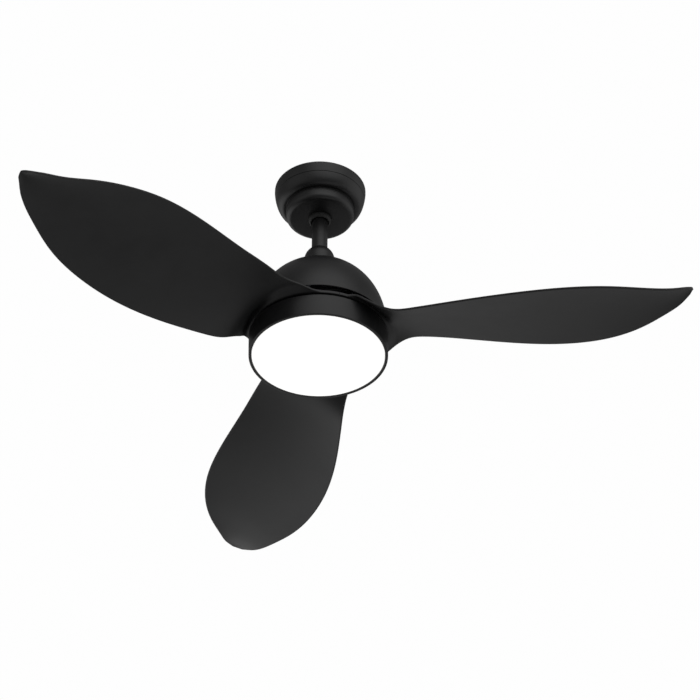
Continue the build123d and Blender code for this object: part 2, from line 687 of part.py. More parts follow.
with BuildPart() as light_housing:
    with BuildSketch(LIGHT_PROFILE):
        with BuildLine():
            Polyline(
                (LIP_RADIUS, HOUSING_FOOT),
                (HOUSING_FOOT_RADIUS, HOUSING_FOOT),
                (HOUSING_TOP_RADIUS, HOUSING_TOP),
                (HOUSING_OPENING, HOUSING_TOP),
                (HOUSING_OPENING, PLATE_TOP),
                (HOUSING_TOP_RADIUS - HOUSING_WALL, PLATE_TOP),
                (HOUSING_FOOT_RADIUS - HOUSING_WALL, LIP_TOP),
                (LIP_RADIUS, LIP_TOP),
                close=True,
            )
        make_face()
    revolve(axis=Axis.Z)
    # Catches that the diffuser's hooks turn onto
    with BuildSketch(up(CATCH_FOOT)):
        for catch in range(CATCHES):
            add(sector(CATCH_IN, CATCH_OUT, HOOK_HALF_ANGLE + 1, 360 / CATCHES * catch))
    extrude(amount=CATCH_TOP - CATCH_FOOT)
    with Locations(up(HOUSING_TOP)):
        with PolarLocations(HOUSING_SCREW_CIRCLE, 3, start_angle=60):
            Cylinder(SCREW_RADIUS, 10, mode=Mode.SUBTRACT)

with BuildPart() as housing_screws:
    with Locations(down(PLATE_FOOT)):
        with PolarLocations(HOUSING_SCREW_CIRCLE, 3, start_angle=60):
            screw(SCREW_HEAD, 2, SCREW_RADIUS, HOUSING_TOP - PLATE_FOOT)

with BuildPart() as led_board:
    with BuildSketch(up(LED_BOARD_FOOT)):
        Circle(LED_BOARD_RADIUS)
        with PolarLocations(LED_SCREW_CIRCLE, 4, start_angle=45):
            Circle(SMALL_SCREW_RADIUS, mode=Mode.SUBTRACT)
    extrude(amount=LED_BOARD_TOP - LED_BOARD_FOOT)

with BuildPart() as led_chips:
    with Locations(up(LED_BOARD_FOOT)):
        for radius, count in LED_RINGS:
            with PolarLocations(radius, count, start_angle=4):
                Box(3.5, 2.8, 0.8, align=HANGING)

with BuildPart() as led_standoffs:
    with BuildSketch(up(LED_BOARD_TOP)):
        with PolarLocations(LED_SCREW_CIRCLE, 4, start_angle=45):
            Circle(SPACER_RADIUS)
            Circle(SMALL_SCREW_RADIUS, mode=Mode.SUBTRACT)
    extrude(amount=PLATE_FOOT - LED_BOARD_TOP)

with BuildPart() as led_screws:
    with Locations(down(LED_BOARD_FOOT)):
        with PolarLocations(LED_SCREW_CIRCLE, 4, start_angle=45):
            screw(SMALL_SCREW_HEAD, 1.6, SMALL_SCREW_RADIUS, 8)

with BuildPart() as led_driver:
    with Locations((0, DRIVER_OFFSET, PLATE_FOOT - DROP)):
        Box(*DRIVER, align=HANGING)
    fillet(led_driver.edges().filter_by(Axis.Z), radius=3)

# ======== Diffuser ========

with BuildPart() as diffuser:
    with BuildSketch(LIGHT_PROFILE):
        with BuildLine():
            # Two shallow crowns, each an arc with its centre on the axis
            crowns = []
            for rim_radius, level in ((DIFFUSER_RADIUS - 1, 0), (SKIRT_IN, DIFFUSER_WALL)):
                arc_radius = (rim_radius**2 + DIFFUSER_CROWN**2) / (2 * DIFFUSER_CROWN)
                centre = (0, level - DIFFUSER_CROWN + arc_radius)
                span = degrees(asin(rim_radius / arc_radius))
                crowns.append(CenterArc(centre, arc_radius, -90, span))
            Polyline(
                crowns[0] @ 1,
                (DIFFUSER_RADIUS, 1),
                (DIFFUSER_RADIUS, DIFFUSER_SKIRT),
                (SKIRT_IN, DIFFUSER_SKIRT),
                crowns[1] @ 1,
            )
            Line(crowns[0] @ 0, crowns[1] @ 0)
        make_face()
    revolve(axis=Axis.Z)
    # Three hooks whose feet stand on the housing's catches
    for inner, outer, foot in ((HOOK_IN, HOOK_OUT, HOOK_FOOT), (105, 108.6, CATCH_TOP + 0.3)):
        with BuildSketch(up(foot)):
            for catch in range(CATCHES):
                add(sector(inner, outer, HOOK_HALF_ANGLE, 360 / CATCHES * catch))
        extrude(amount=HOOK_TOP - foot)

# ======== Rotor: motor shells, magnets, outer bearing parts and blades ========

with BuildPart() as rotor_lower_shell:
    floor_level = SHELL_FOOT + SHELL_FLOOR
    with BuildSketch(LIGHT_PROFILE):
        with BuildLine():
            Polyline(
                (SHELL_LIP, SHELL_FOOT),
                (ROTOR_FLANGE_RADIUS, SHELL_FOOT),
                (ROTOR_FLANGE_RADIUS, SHELL_FOOT + ROTOR_FLANGE),
                (SHELL_RADIUS, SHELL_FOOT + ROTOR_FLANGE),
                (SHELL_RADIUS, SHELL_SPLIT),
                (SHELL_RADIUS - SHELL_WALL, SHELL_SPLIT),
                (SHELL_RADIUS - SHELL_WALL, floor_level),
                (SHELL_HUB, floor_level),
                (SHELL_HUB, floor_level + BEARING_WIDTH),
                (BEARING_OUTER, floor_level + BEARING_WIDTH),
                (BEARING_OUTER, floor_level),
                (SHELL_LIP, floor_level),
                close=True,
            )
        make_face()
    revolve(axis=Axis.Z)
    with Locations(up(SHELL_SPLIT)):
        with PolarLocations(SHELL_SCREW_CIRCLE - 1, 6, start_angle=30):
            Cylinder(SHELL_LUG, SHELL_LUG, align=HANGING)
        with PolarLocations(SHELL_SCREW_CIRCLE, 6, start_angle=30):
            Cylinder(SCREW_RADIUS, 20, mode=Mode.SUBTRACT)
    with Locations(*blade_screw_spots(SHELL_FOOT)):
        Cylinder(SCREW_RADIUS, 20, mode=Mode.SUBTRACT)

with BuildPart() as rotor_upper_shell:
    roof_level = SHELL_TOP - SHELL_FLOOR
    with BuildSketch(LIGHT_PROFILE):
        with BuildLine():
            Polyline(
                (SHELL_LIP, SHELL_TOP),
                (SHELL_RADIUS - SHELL_CHAMFER, SHELL_TOP),
                (SHELL_RADIUS, SHELL_TOP - SHELL_CHAMFER),
                (SHELL_RADIUS, SHELL_SPLIT),
                (SHELL_RADIUS - SHELL_WALL, SHELL_SPLIT),
                (SHELL_RADIUS - SHELL_WALL, roof_level),
                (SHELL_HUB, roof_level),
                (SHELL_HUB, roof_level - BEARING_WIDTH),
                (BEARING_OUTER, roof_level - BEARING_WIDTH),
                (BEARING_OUTER, roof_level),
                (SHELL_LIP, roof_level),
                close=True,
            )
        make_face()
    revolve(axis=Axis.Z)
    with Locations(up(SHELL_SPLIT)):
        with PolarLocations(SHELL_SCREW_CIRCLE - 1, 6, start_angle=30):
            Cylinder(SHELL_LUG, SHELL_LUG, align=STANDING)
        with PolarLocations(SHELL_SCREW_CIRCLE, 6, start_angle=30):
            Cylinder(SCREW_RADIUS, 20, mode=Mode.SUBTRACT)
    # Cooling holes
    with Locations(up(SHELL_TOP)):
        with PolarLocations(50, 8, start_angle=22.5):
            Cylinder(9, 10, mode=Mode.SUBTRACT)

with BuildPart() as shell_screws:
    with Locations(up(SHELL_SPLIT + SHELL_LUG)):
        with PolarLocations(SHELL_SCREW_CIRCLE, 6, start_angle=30):
            screw(SCREW_HEAD, 2.2, SCREW_RADIUS, 2 * SHELL_LUG)

with BuildPart() as magnets:
    with BuildSketch(up(CORE_FOOT - 2)):
        for magnet in range(MAGNETS):
            add(sector(MAGNET_IN, SHELL_RADIUS - SHELL_WALL, 10.5, 360 / MAGNETS * magnet))
    extrude(amount=CORE_TOP - CORE_FOOT + 4)

with BuildPart() as bearing_outer_rings:
    for height in BEARING_HEIGHTS:
        with BuildSketch(up(height)):
            Circle(BEARING_OUTER)
            Circle(OUTER_RING, mode=Mode.SUBTRACT)
        extrude(amount=BEARING_WIDTH)

with BuildPart() as bearing_balls:
    for height in BEARING_HEIGHTS:
        with Locations(up(height + BEARING_WIDTH / 2)):
            with PolarLocations((INNER_RING + OUTER_RING) / 2, BEARING_BALLS):
                Sphere(BEARING_BALL)

with BuildPart() as blade_pads:
    with BuildSketch(up(RIM_TOP)):
        for blade in range(BLADES):
            add(sector(SHELL_RADIUS + 2, ROTOR_FLANGE_RADIUS, 50, BLADE_TURN * blade))
    extrude(amount=SHELL_FOOT - RIM_TOP)
    with Locations(*blade_screw_spots(SHELL_FOOT)):
        Cylinder(SCREW_RADIUS, 20, mode=Mode.SUBTRACT)


def crossing(edge, station):
    """Where a long edge crosses a distance out, found by halving."""
    inner = 0.0
    outer = 1.0
    while outer - inner > 1e-7:
        middle = (inner + outer) / 2
        if (edge @ middle).X < station:
            inner = middle
        else:
            outer = middle
    return edge @ inner


def blade_section(station):
    """The blade's upright section at a distance out: a cambered strip with round edges."""
    low = crossing(low_edge, station)
    high = crossing(high_edge, station)
    run = high.Y - low.Y
    rise = high.Z - low.Z
    half = min(BLADE_THICKNESS / 2, 0.3 * run)
    camber = CAMBER * (1 - (station - ROOT_STATIONS[0]) / TIP_STATIONS[-1]) ** 0.6
    upper = []
    lower = []
    for across in (0, 0.125, 0.25, 0.375, 0.5, 0.625, 0.75, 0.875, 1):
        hump = 4 * camber * across * (1 - across)
        middle = Vector(low.Y + run * across, low.Z + rise * across + hump)
        out_of_face = Vector(-rise - 4 * camber * (1 - 2 * across), run).normalized() * half
        upper.append(middle + out_of_face)
        lower.append(middle - out_of_face)
    low_end = Vector(low.Y, low.Z) - Vector(run, rise + 4 * camber).normalized() * half
    high_end = Vector(high.Y, high.Z) + Vector(run, rise - 4 * camber).normalized() * half
    with BuildSketch(Plane(origin=(station, 0, 0), x_dir=(0, 1, 0), z_dir=(1, 0, 0))) as section:
        with BuildLine():
            Spline(*upper)
            ThreePointArc(upper[-1], high_end, lower[-1])
            Spline(*reversed(lower))
            ThreePointArc(lower[0], low_end, upper[0])
        make_face()
    return section.sketch


low_edge = Spline(*LOW_EDGE)
high_edge = Spline(*HIGH_EDGE)

with BuildPart() as blade:
    # The first blade, pointing along +X, with heights from the light's lower edge
    for station in ROOT_STATIONS + SPAN_STATIONS + TIP_STATIONS:
        add(blade_section(station))
    loft(ruled=True)
    # Room for the motor above and the light's housing below
    with Locations((0, 0, RIM_TOP)):
        Cylinder(RIM_RADIUS, 60, align=STANDING, mode=Mode.SUBTRACT)
    with Locations((0, 0, RIM_FOOT)):
        Cylinder(HOUSING_TOP_RADIUS + 1.5, 60, align=HANGING, mode=Mode.SUBTRACT)
    Cylinder(RIM_BORE, 60, align=STANDING, mode=Mode.SUBTRACT)
    # Its share of the turning rim: the plate under the motor, and the wall round it
    rim_half_angle = BLADE_TURN / 2 - degrees(RIM_GAP / 2 / RIM_RADIUS)
    for inner, top in ((RIM_BORE, RIM_TOP), (RIM_WALL_IN, RIM_LIP)):
        with BuildSketch(Plane.XY.offset(RIM_FOOT)):
            add(sector(inner, RIM_RADIUS, rim_half_angle))
        extrude(amount=top - RIM_FOOT)
    with Locations((0, 0, RIM_TOP)):
        for angle in BLADE_SCREW_ANGLES:
            with PolarLocations(BLADE_SCREW_RADIUS, 1, start_angle=angle):
                Cylinder(SCREW_RADIUS, 20, mode=Mode.SUBTRACT)

blades = [Location((0, 0, -DROP), (0, 0, BLADE_TURN * index)) * blade.part for index in range(BLADES)]

with BuildPart() as blade_screws:
    with Locations(*blade_screw_spots(RIM_FOOT)):
        Cylinder(4.4, 2.2, align=HANGING)
        Cylinder(SCREW_RADIUS, 8.5, align=STANDING)

# ======== One STEP file for each piece ========

pieces = {
    "hanger_bracket": hanger_bracket.part,
    "canopy": canopy.part,
    "canopy_trim_ring": canopy_trim_ring.part,
    "canopy_screws": canopy_screws.part,
    "canopy_bushing": canopy_bushing.part,
    "receiver_module": receiver_module.part,
    "terminal_block": terminal_block.part,
    "earth_screw": earth_screw.part,
    "ball_liner": ball_liner.part,
    "hanger_ball": hanger_ball.part,
    "ball_pin": ball_pin.part,
    "ball_set_screw": ball_set_screw.part,
    "downrod": downrod.part,
    "supply_lead": supply_lead.part,
    "yoke": yoke.part,
    "clevis_pin": clevis_pin.part,
    "r_clip": r_clip.part,
    "yoke_set_screws": yoke_set_screws.part,
    "dome_cover": dome_cover.part,
    "dome_screws": dome_screws.part,
    "coupling_cover": coupling_cover.part,
    "motor_shaft": motor_shaft.part,
    "shaft_circlips": shaft_circlips.part,
    "controller_tray": controller_tray.part,
    "controller_spacers": controller_spacers.part,
    "controller_board": controller_board.part,
    "controller_components": controller_components.part,
    "controller_screws": controller_screws.part,
    "stator_core": stator_core.part,
    "stator_windings": stator_windings.part,
    "bearing_inner_rings": bearing_inner_rings.part,
    "light_plate": light_plate.part,
    "shaft_washer": shaft_washer.part,
    "shaft_nut": shaft_nut.part,
    "light_housing": light_housing.part,
    "housing_screws": housing_screws.part,
    "led_board": led_board.part,
    "led_chips": led_chips.part,
    "led_standoffs": led_standoffs.part,
    "led_screws": led_screws.part,
    "led_driver": led_driver.part,
    "diffuser": diffuser.part,
    "rotor_lower_shell": rotor_lower_shell.part,
    "rotor_upper_shell": rotor_upper_shell.part,
    "shell_screws": shell_screws.part,
    "magnets": magnets.part,
    "bearing_outer_rings": bearing_outer_rings.part,
    "bearing_balls": bearing_balls.part,
    "blade_pads": blade_pads.part,
    "blade_1": blades[0],
    "blade_2": blades[1],
    "blade_3": blades[2],
    "blade_screws": blade_screws.part,
}

os.makedirs("parts", exist_ok=True)
for name, piece in pieces.items():
    piece.label = name
    export_step(piece, f"parts/{name}.step")
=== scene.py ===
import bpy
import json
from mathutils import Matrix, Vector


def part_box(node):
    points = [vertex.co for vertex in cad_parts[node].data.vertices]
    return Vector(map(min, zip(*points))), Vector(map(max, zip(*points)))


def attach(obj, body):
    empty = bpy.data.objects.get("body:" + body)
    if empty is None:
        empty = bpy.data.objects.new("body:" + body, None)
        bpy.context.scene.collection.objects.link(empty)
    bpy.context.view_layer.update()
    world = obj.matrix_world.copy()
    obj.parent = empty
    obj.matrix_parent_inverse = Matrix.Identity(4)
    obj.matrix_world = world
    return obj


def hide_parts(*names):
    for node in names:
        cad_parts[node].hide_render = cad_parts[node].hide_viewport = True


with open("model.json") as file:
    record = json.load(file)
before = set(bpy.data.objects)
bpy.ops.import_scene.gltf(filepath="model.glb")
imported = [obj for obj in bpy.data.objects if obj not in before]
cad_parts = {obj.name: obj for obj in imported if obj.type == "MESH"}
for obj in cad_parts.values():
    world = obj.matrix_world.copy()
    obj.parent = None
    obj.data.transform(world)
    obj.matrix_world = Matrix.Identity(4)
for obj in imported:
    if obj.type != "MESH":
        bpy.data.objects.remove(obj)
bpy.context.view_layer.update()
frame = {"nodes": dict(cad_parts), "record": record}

import json
from bisect import bisect_right
from math import asin, atan2, cos, degrees, hypot, pi, radians, sin, sqrt

import bmesh
import bpy
from mathutils import Euler, Matrix, Vector

# Lengths in the outlines below are millimetres; the scene is in metres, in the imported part's frame.
MM = 0.001
record = frame["record"]
HOUSING_FOOT = -0.6  # the housing's lower edge, about the light's level
LIGHT_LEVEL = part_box("light_housing")[0].z / MM - HOUSING_FOOT
BLADES = 3
BLADE_TURN = 120

# ---------------------------------------------------------------- meshes


def mesh_object(name, verts, faces, crease=32):
    """A smooth-shaded mesh, with its edges kept crisp where faces meet at more than the crease angle."""
    mesh = bpy.data.meshes.new(name)
    mesh.from_pydata([Vector(v) * MM for v in verts], [], faces)
    work = bmesh.new()
    work.from_mesh(mesh)
    bmesh.ops.recalc_face_normals(work, faces=work.faces)
    work.to_mesh(mesh)
    work.free()
    mesh.polygons.foreach_set("use_smooth", [True] * len(mesh.polygons))
    mesh.set_sharp_from_angle(angle=radians(crease))
    ob = bpy.data.objects.new(name, mesh)
    bpy.context.scene.collection.objects.link(ob)
    return ob


def rounded(corners, steps=5):
    """A closed outline from (radius, height, rounding) corners, each rounded by its own radius."""
    outline = []
    count = len(corners)
    for index, (x, y, rounding) in enumerate(corners):
        here = Vector((x, y))
        before = Vector(corners[index - 1][:2]) - here
        after = Vector(corners[(index + 1) % count][:2]) - here
        if rounding == 0 or before.length < 1e-6 or after.length < 1e-6:
            outline.append(here)
            continue
        half = before.angle(after) / 2
        reach = min(rounding / max(sin(half) / cos(half), 1e-6), 0.45 * before.length, 0.45 * after.length)
        start = here + before.normalized() * reach
        end = here + after.normalized() * reach
        for step in range(steps + 1):
            along = step / steps
            outline.append(start * (1 - along) ** 2 + here * (2 * along * (1 - along)) + end * along**2)
    return outline


def curve(points, steps):
    """Points along a quadratic curve through a start, a pull and an end."""
    start, pull, end = (Vector(p) for p in points)
    shares = [i / steps for i in range(steps + 1)]
    return [start * (1 - t) ** 2 + pull * (2 * t * (1 - t)) + end * t**2 for t in shares]


def corners_of(points, rounding=0):
    return [(x, y, rounding) for x, y in points]


def turned(outline, start=0.0, sweep=360.0, segments=240):
    """Vertices and faces of a closed outline of (radius, height) turned about the axis."""
    whole = sweep >= 360
    verts = []
    faces = []
    rings = []
    for radius, height in outline:
        if radius < 1e-6:
            rings.append([len(verts)] * (segments + 1))
            verts.append((0, 0, height))
            continue
        first = len(verts)
        places = segments if whole else segments + 1
        for step in range(places):
            angle = radians(start + sweep * step / segments)
            verts.append((radius * cos(angle), radius * sin(angle), height))
        ring = [first + step for step in range(places)]
        if whole:
            ring.append(first)
        rings.append(ring)
    count = len(rings)
    for index in range(count):
        near = rings[index]
        far = rings[(index + 1) % count]
        for step in range(segments):
            corners = [near[step], near[step + 1], far[step + 1], far[step]]
            face = [v for k, v in enumerate(corners) if v != corners[k - 1]]
            if len(face) > 2:
                faces.append(face)
    if not whole:
        faces.append([ring[0] for ring in rings])
        faces.append([ring[-1] for ring in rings][::-1])
    return verts, faces


def raised(shape, height):
    """The same vertices and faces at another height."""
    verts, faces = shape
    return [(x, y, z + height) for x, y, z in verts], faces


def joined(*shapes):
    verts = []
    faces = []
    for shape_verts, shape_faces in shapes:
        base = len(verts)
        verts += shape_verts
        faces += [[base + v for v in face] for face in shape_faces]
    return verts, faces

# ---------------------------------------------------------------- blades

RIM_RADIUS = 113.5
RIM_BORE = 70.0
RIM_FOOT = 42.0
RIM_TOP = 46.0
RIM_LIP = 47.5
RIM_WALL_IN = 109.8
RIM_GAP = 0.6
BLADE_HALF_THICKNESS = 1.9
CAMBER = 9.0
ROOT_END = 62.0  # where the blade's section tables start
TIP_END = 610.0
# The blade's long edges from rim to tip: distance out, offset sideways, height above the light
LOW_EDGE = [
    (60, -90, 45.5),
    (70, -89.5, 45),
    (82, -88.2, 41.8),
    (95, -86.8, 35),
    (114, -84, 22),
    (137, -85.2, 7.7),
    (171, -91.8, -1.4),
    (250.5, -108, -12.6),
    (331, -117.2, -19.6),
    (413, -115, -21.3),
    (487, -99, -18.8),
    (544, -74.5, -12.9),
    (586, -52.6, -2),
    (603, -39.8, 7),
    (611, -32, 11),
]
HIGH_EDGE = [
    (60, 90, 44),
    (74, 84, 44.7),
    (88, 75, 46),
    (104, 67, 48.6),
    (120.5, 57.4, 52.2),
    (141.7, 50, 55.3),
    (168, 51, 54.6),
    (228.5, 58.5, 45.8),
    (291.6, 68, 35.8),
    (358, 75.8, 26.6),
    (424, 74.7, 18.6),
    (483, 60, 11.6),
    (529, 36, 7.2),
    (562.6, 11.6, 5.2),
    (588, -6.4, 7.6),
    (603, -21, 10.4),
    (611, -29.6, 11.3),
]


class Edge:
    """A smooth line through an edge's points, read by distance out (natural cubic spline)."""

    def __init__(self, points):
        self.x = [p[0] for p in points]
        self.columns = [self.second_derivatives([p[k] for p in points]) for k in (1, 2)]

    def second_derivatives(self, values):
        x = self.x
        last = len(x) - 1
        curvature = [0.0] * (last + 1)
        carry = [0.0] * (last + 1)
        for i in range(1, last):
            share = (x[i] - x[i - 1]) / (x[i + 1] - x[i - 1])
            pivot = share * curvature[i - 1] + 2
            curvature[i] = (share - 1) / pivot
            slope = (values[i + 1] - values[i]) / (x[i + 1] - x[i])
            slope -= (values[i] - values[i - 1]) / (x[i] - x[i - 1])
            carry[i] = (6 * slope / (x[i + 1] - x[i - 1]) - share * carry[i - 1]) / pivot
        for i in range(last - 1, -1, -1):
            curvature[i] = curvature[i] * curvature[i + 1] + carry[i]
        return values, curvature

    def at(self, station):
        """The offset sideways and the height at a distance out."""
        x = self.x
        i = min(max(bisect_right(x, station) - 1, 0), len(x) - 2)
        width = x[i + 1] - x[i]
        right = (station - x[i]) / width
        left = 1 - right
        found = []
        for values, curvature in self.columns:
            bend = (left**3 - left) * curvature[i] + (right**3 - right) * curvature[i + 1]
            found.append(left * values[i] + right * values[i + 1] + bend * width**2 / 6)
        return found


low_edge = Edge(LOW_EDGE)
high_edge = Edge(HIGH_EDGE)


def middle_height(x, y):
    """The height of the blade's middle surface."""
    low_y, low_z = low_edge.at(x)
    high_y, high_z = high_edge.at(x)
    across = min(max((y - low_y) / (high_y - low_y), 0), 1)
    camber = CAMBER * max(1 - (x - ROOT_END) / TIP_END, 0) ** 0.6
    return low_z + (high_z - low_z) * across + 4 * camber * across * (1 - across)


ALONG = 88  # rows along the blade
ACROSS = 30
CROSS_STEPS = [(1 - cos(pi * k / ACROSS)) / 2 for k in range(ACROSS + 1)]  # closer together at the edges
ROUND_STEPS = 4
TIP = 609.0  # just short of the edges' last points, where they almost meet
TIP_ROUND = 6.0  # radius of the tip's corners
TIP_REACH = 20.0  # the rounding starts this far before the tip
BEND_END = 230.0  # further out than this the blade's cross lines are straight
ROOT_ANGLE = 57.0  # the root meets the rim over this angle on each side
ROOT_RADIUS = 112.0


def plan(along, across):
    """A place on the blade seen from above.

    along runs from the rim's arc to the tip, and across from the low edge to the high edge."""
    first = ROOT_RADIUS * cos(radians(ROOT_ANGLE))
    reach = first + (TIP - first) * along
    if reach > TIP - TIP_REACH:
        # The tip's two corners are rounded, so the cross lines near it bend back at their ends
        width = high_edge.at(reach)[0] - low_edge.at(reach)[0]
        inset = max(TIP_ROUND - min(across, 1 - across) * width, 0)
        turn = TIP_ROUND - sqrt(TIP_ROUND**2 - inset**2)
        reach -= turn * ((reach - TIP + TIP_REACH) / TIP_REACH) ** 2
    low, high = (Vector((reach, edge.at(reach)[0])) for edge in (low_edge, high_edge))
    flat = low.lerp(high, across)
    station = low.x
    if station >= BEND_END:
        return flat
    # Near the rim the cross lines are arcs about the axis
    bow = (BEND_END - station) / (BEND_END - ROOT_RADIUS * cos(radians(ROOT_ANGLE)))
    bow = bow * bow * (3 - 2 * bow)
    low_angle = atan2(low.y, low.x)
    high_angle = atan2(high.y, high.x)
    angle = low_angle + (high_angle - low_angle) * across
    radius = low.length + (high.length - low.length) * across
    arc = Vector((radius * cos(angle), radius * sin(angle)))
    return flat.lerp(arc, bow)


ROOT_HEIGHT = 45.0  # the blade's middle surface where it enters the rim
ROOT_REACH = 17.0  # over this distance from the rim it settles to that height


def surface(along, across):
    """A place on the blade's middle surface."""
    here = plan(along, across)
    height = middle_height(here.x, here.y)
    near = min(max(1 - (here.length - ROOT_RADIUS) / ROOT_REACH, 0), 1)
    near = near * near * (3 - 2 * near)
    return Vector((here.x, here.y, height + (ROOT_HEIGHT - height) * near))


def normal_at(along, across):
    step = 0.004
    a = surface(min(along + step, 1), across) - surface(max(along - step, 0), across)
    b = surface(along, min(across + step, 1)) - surface(along, max(across - step, 0))
    return a.cross(b).normalized()


COVE = 1.0  # the blade thickens by this much where it runs into the rim
COVE_REACH = 8.0


def blade_shape():
    """One blade pointing along +X: rings round its section, from inside the rim to the tip."""
    verts = []
    rings = []
    for i in range(ALONG + 1):
        t = i / ALONG
        along = t * t * (1.6 - 0.6 * t) * 0.55 + t * 0.45
        along = min(along, 1.0)
        upper = []
        lower = []
        samples = [(surface(along, across), normal_at(along, across)) for across in CROSS_STEPS]
        width = (samples[-1][0] - samples[0][0]).length
        half = min(BLADE_HALF_THICKNESS, 0.3 * width)
        for place, normal in samples:
            away = hypot(place.x, place.y) - RIM_RADIUS
            cove = COVE * max(1 - max(away, 0) / COVE_REACH, 0) ** 2
            upper.append(place + normal * half)
            lower.append(place - normal * half - Vector((0, 0, cove)))
        ring = list(upper)
        for place, over, under, beyond in (
            (samples[-1][0], upper[-1], lower[-1], samples[-2][0]),
            (samples[0][0], lower[0], upper[0], samples[1][0]),
        ):
            out = (place - beyond).normalized()
            centre = (over + under) / 2
            arm = (over - under) / 2
            for step in range(1, ROUND_STEPS):
                angle = pi * step / ROUND_STEPS
                ring.append(centre + arm * cos(angle) + out * (arm.length * sin(angle)))
            if place is samples[-1][0]:
                ring += reversed(lower)
        rings.append([len(verts) + k for k in range(len(ring))])
        verts += ring
    faces = []
    around = len(rings[0])
    for near, far in zip(rings, rings[1:]):
        for k in range(around):
            j = (k + 1) % around
            faces.append([near[k], far[k], far[j], near[j]])
    faces.append(rings[0])
    # The tip's end is closed with strips between its upper and lower sides
    end = rings[-1]
    top = end[: ACROSS + 1]
    bottom = end[ACROSS + ROUND_STEPS : 2 * ACROSS + ROUND_STEPS + 1][::-1]
    for k in range(ACROSS):
        faces.append([top[k], bottom[k], bottom[k + 1], top[k + 1]])
    faces.append([top[-1]] + end[ACROSS + 1 : ACROSS + ROUND_STEPS] + [bottom[-1]])
    faces.append([bottom[0]] + end[2 * ACROSS + ROUND_STEPS + 1 :] + [top[0]])
    return verts, faces


def blade_piece(index):
    half_angle = BLADE_TURN / 2 - degrees(RIM_GAP / 2 / RIM_RADIUS)
    rim = rounded(
        [
            (RIM_BORE, RIM_FOOT, 1),
            (RIM_RADIUS, RIM_FOOT, 1.2),
            (RIM_RADIUS, RIM_LIP, 1.6),
            (RIM_WALL_IN, RIM_LIP, 1.0),
            (RIM_WALL_IN, RIM_TOP, 0.5),
            (RIM_BORE, RIM_TOP, 1),
        ]
    )
    shape = joined(blade_shape(), turned(rim, -half_angle, 2 * half_angle, 90))
    piece = mesh_object(f"blade_shell_{index + 1}", *raised(shape, LIGHT_LEVEL))
    piece.data.transform(Matrix.Rotation(radians(BLADE_TURN * index), 4, "Z"))
    return piece


# ---------------------------------------------------------------- turned shells

DOME_RADIUS = 112.0
DOME_RIM = 59.0
DOME_TOP = 175.5
DOME_WALL = 1.5
DOME_CENTRE = 16.0  # the dome's outline is an ellipse standing this far off the axis
DOME_HEIGHT = 117.5
DOME_OPENING = 18.0
COVER_RADIUS = 25.5
COVER_OPENING = 55.0
COVER_WAIST = 191.0
COVER_CENTRE = 203.5
COVER_FOOT_RADIUS = 29.0
COVER_WALL = 1.5
COVER_PLAY = 0.4  # between the coupling cover and the dome
ROD_RADIUS = 13.35
ROD_BORE = 11.0
ROD_TOP_DEPTH = 29.5
ROD_FOOT = 185.0
CANOPY_RADIUS = 77.8
CANOPY_DEPTH = 62.5
CANOPY_WALL = 1.2
CANOPY_NECK = 72.6
BOWL_RADIUS = 75.8
BOWL_WAIST = (70.7, -43.2)
TIER_RADIUS = 57.8
TIER_TOP = 40.0
TIER_ROUND = 9.0
TRIM_DEPTH = 19.0
TRIM_IN = 74.6
TRIM_SEAM = 0.3
TRIM_CEILING_EDGE = 5.5
TRIM_WAIST = (77.1, -13)
TRIM_FOOT_RADIUS = 75.9
BUSHING_HOLE = 17.5
BUSHING_IN = 15.2
BUSHING_OUT = 19.8
BUSHING_DEPTH = 70.0
BUSHING_BULGE = 67.5  # the bead's outline is pulled out to this depth
BUSHING_LIP_OUT = 16.2
BUSHING_FLANGE = 1.8  # stands on the canopy's floor
BUSHING_FLANGE_IN = 0.8
HOUSING_TOP = 38.0
HOUSING_TOP_RADIUS = 113.8
HOUSING_FOOT_RADIUS = 113.0
HOUSING_WALL = 2.2
HOUSING_OPENING = 96.0
LIP_RADIUS = 108.4
LIP_TOP = 2.0
CATCHES = 3
CATCH_HALF_ANGLE = 7.0
CATCH_FOOT = 13.5
CATCH_TOP = 16.5
CATCH_IN = 106.6
CATCH_OUT = 111.6
HOOK_HALF_ANGLE = 6.0
HOOK_FOOT = 4.0
HOOK_TOP = 20.0
HOOK_STEM = (103.4, 106.2)  # inner and outer radius
HOOK_TOE = (105, 108.6)
HOOK_PLAY = 0.3  # between a hook's toe and its catch
DIFFUSER_RADIUS = 108.0
DIFFUSER_WALL = 2.2
DIFFUSER_CROWN = 4.0
DIFFUSER_SKIRT = 8.0
SKIRT_IN = 105.6


def ellipse_points(centre, across, up, end_height, steps):
    """A quarter-ellipse's points from its widest level up to a height."""
    top_angle = asin((end_height - centre[1]) / up)
    return [
        (centre[0] + across * cos(top_angle * i / steps), centre[1] + up * sin(top_angle * i / steps))
        for i in range(steps + 1)
    ]


def arc_points(centre, radius, start, end, steps):
    """Points on an arc, with angles in degrees."""
    spread = [radians(start + (end - start) * i / steps) for i in range(steps + 1)]
    return [(centre[0] + radius * cos(a), centre[1] + radius * sin(a)) for a in spread]


def dome_outline():
    across = DOME_RADIUS - DOME_CENTRE
    centre = (DOME_CENTRE, DOME_RIM)
    outer = ellipse_points(centre, across, DOME_HEIGHT, DOME_TOP, 44)
    inner = ellipse_points(centre, across - DOME_WALL, DOME_HEIGHT - DOME_WALL, DOME_TOP - DOME_WALL, 44)
    return rounded(
        [(*outer[0], 0.6)]
        + corners_of(outer[1:-1])
        + [(*outer[-1], 3), (DOME_OPENING, DOME_TOP, 0.3), (DOME_OPENING, DOME_TOP - DOME_WALL, 0.3)]
        + corners_of(inner[:0:-1])
        + [(*inner[0], 0.6)]
    )


